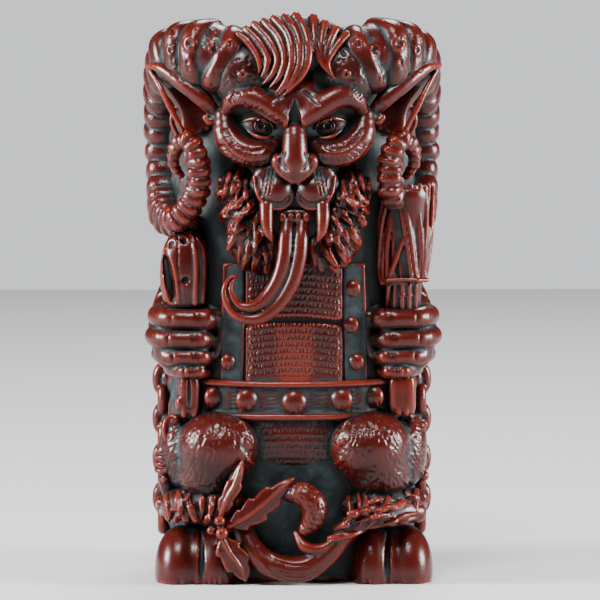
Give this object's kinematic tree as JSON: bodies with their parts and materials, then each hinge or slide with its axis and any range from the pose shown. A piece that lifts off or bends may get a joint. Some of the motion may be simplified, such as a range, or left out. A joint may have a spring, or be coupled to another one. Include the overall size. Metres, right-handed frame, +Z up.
{
  "type": "tiki mug",
  "caption": "Ceramic figural mug: a hollow cup with a horned folklore beast sculpted round it, open at the top.",
  "frame": {"origin": "centre of the cup's flat foot, on the surface the mug stands on", "axes": "+Z up towards the rim, -Y the figure's face, +X to the viewer's right"},
  "size_m": [0.1004, 0.0916, 0.1898],
  "materials": {
    "red_glaze": "satin red-brown glaze, wiped back over a dark wash",
    "washed_glaze": "blue-grey wash left in the recesses, satin"
  },
  "bodies": {
    "root": {"cup": "washed_glaze", "belt_stud_middle": "red_glaze", "belt_stud_left": "red_glaze", "belt_stud_outer_left": "red_glaze", "belt_stud_right": "red_glaze", "belt_stud_outer_right": "red_glaze", "strap_stud_upper": "red_glaze", "strap_stud_middle": "red_glaze", "strap_stud_lower": "red_glaze", "strap_stud_left": "red_glaze", "eye_left": "red_glaze", "fang_left": "red_glaze", "eye_right": "red_glaze", "fang_right": "red_glaze", "upper_teeth": "red_glaze", "nose": "red_glaze", "tongue": "red_glaze", "muzzle": "red_glaze", "brow": "red_glaze", "forelock": "red_glaze", "strap_loop": "red_glaze", "strap_end": "red_glaze", "birch_bundle": "red_glaze", "birch_handle": "red_glaze", "hand_left": "red_glaze", "hand_right": "red_glaze", "holly_berries": "red_glaze", "holly_leaf_long": "red_glaze", "holly_leaf_low": "red_glaze", "holly_leaf_high": "red_glaze", "tail": "red_glaze", "tail_tuft": "red_glaze", "bell": "red_glaze", "knee_left": "red_glaze", "hoof_left": "red_glaze", "fetlock_left": "red_glaze", "knee_right": "red_glaze", "hoof_right": "red_glaze", "fetlock_right": "red_glaze", "belt": "washed_glaze", "harness_strap_left": "washed_glaze", "harness_strap_right": "washed_glaze", "tunic": "red_glaze", "loin_pelt": "red_glaze", "ear_left": "red_glaze", "horn_curl_left": "red_glaze", "horn_left": "red_glaze", "ear_right": "red_glaze", "horn_curl_right": "red_glaze", "horn_right": "red_glaze", "beard_left": "red_glaze", "beard_right": "red_glaze", "face": "red_glaze", "chain_left": "red_glaze", "chain_right": "red_glaze", "back_mane": "red_glaze", "back_pelt": "red_glaze"}
  },
  "joints": []
}
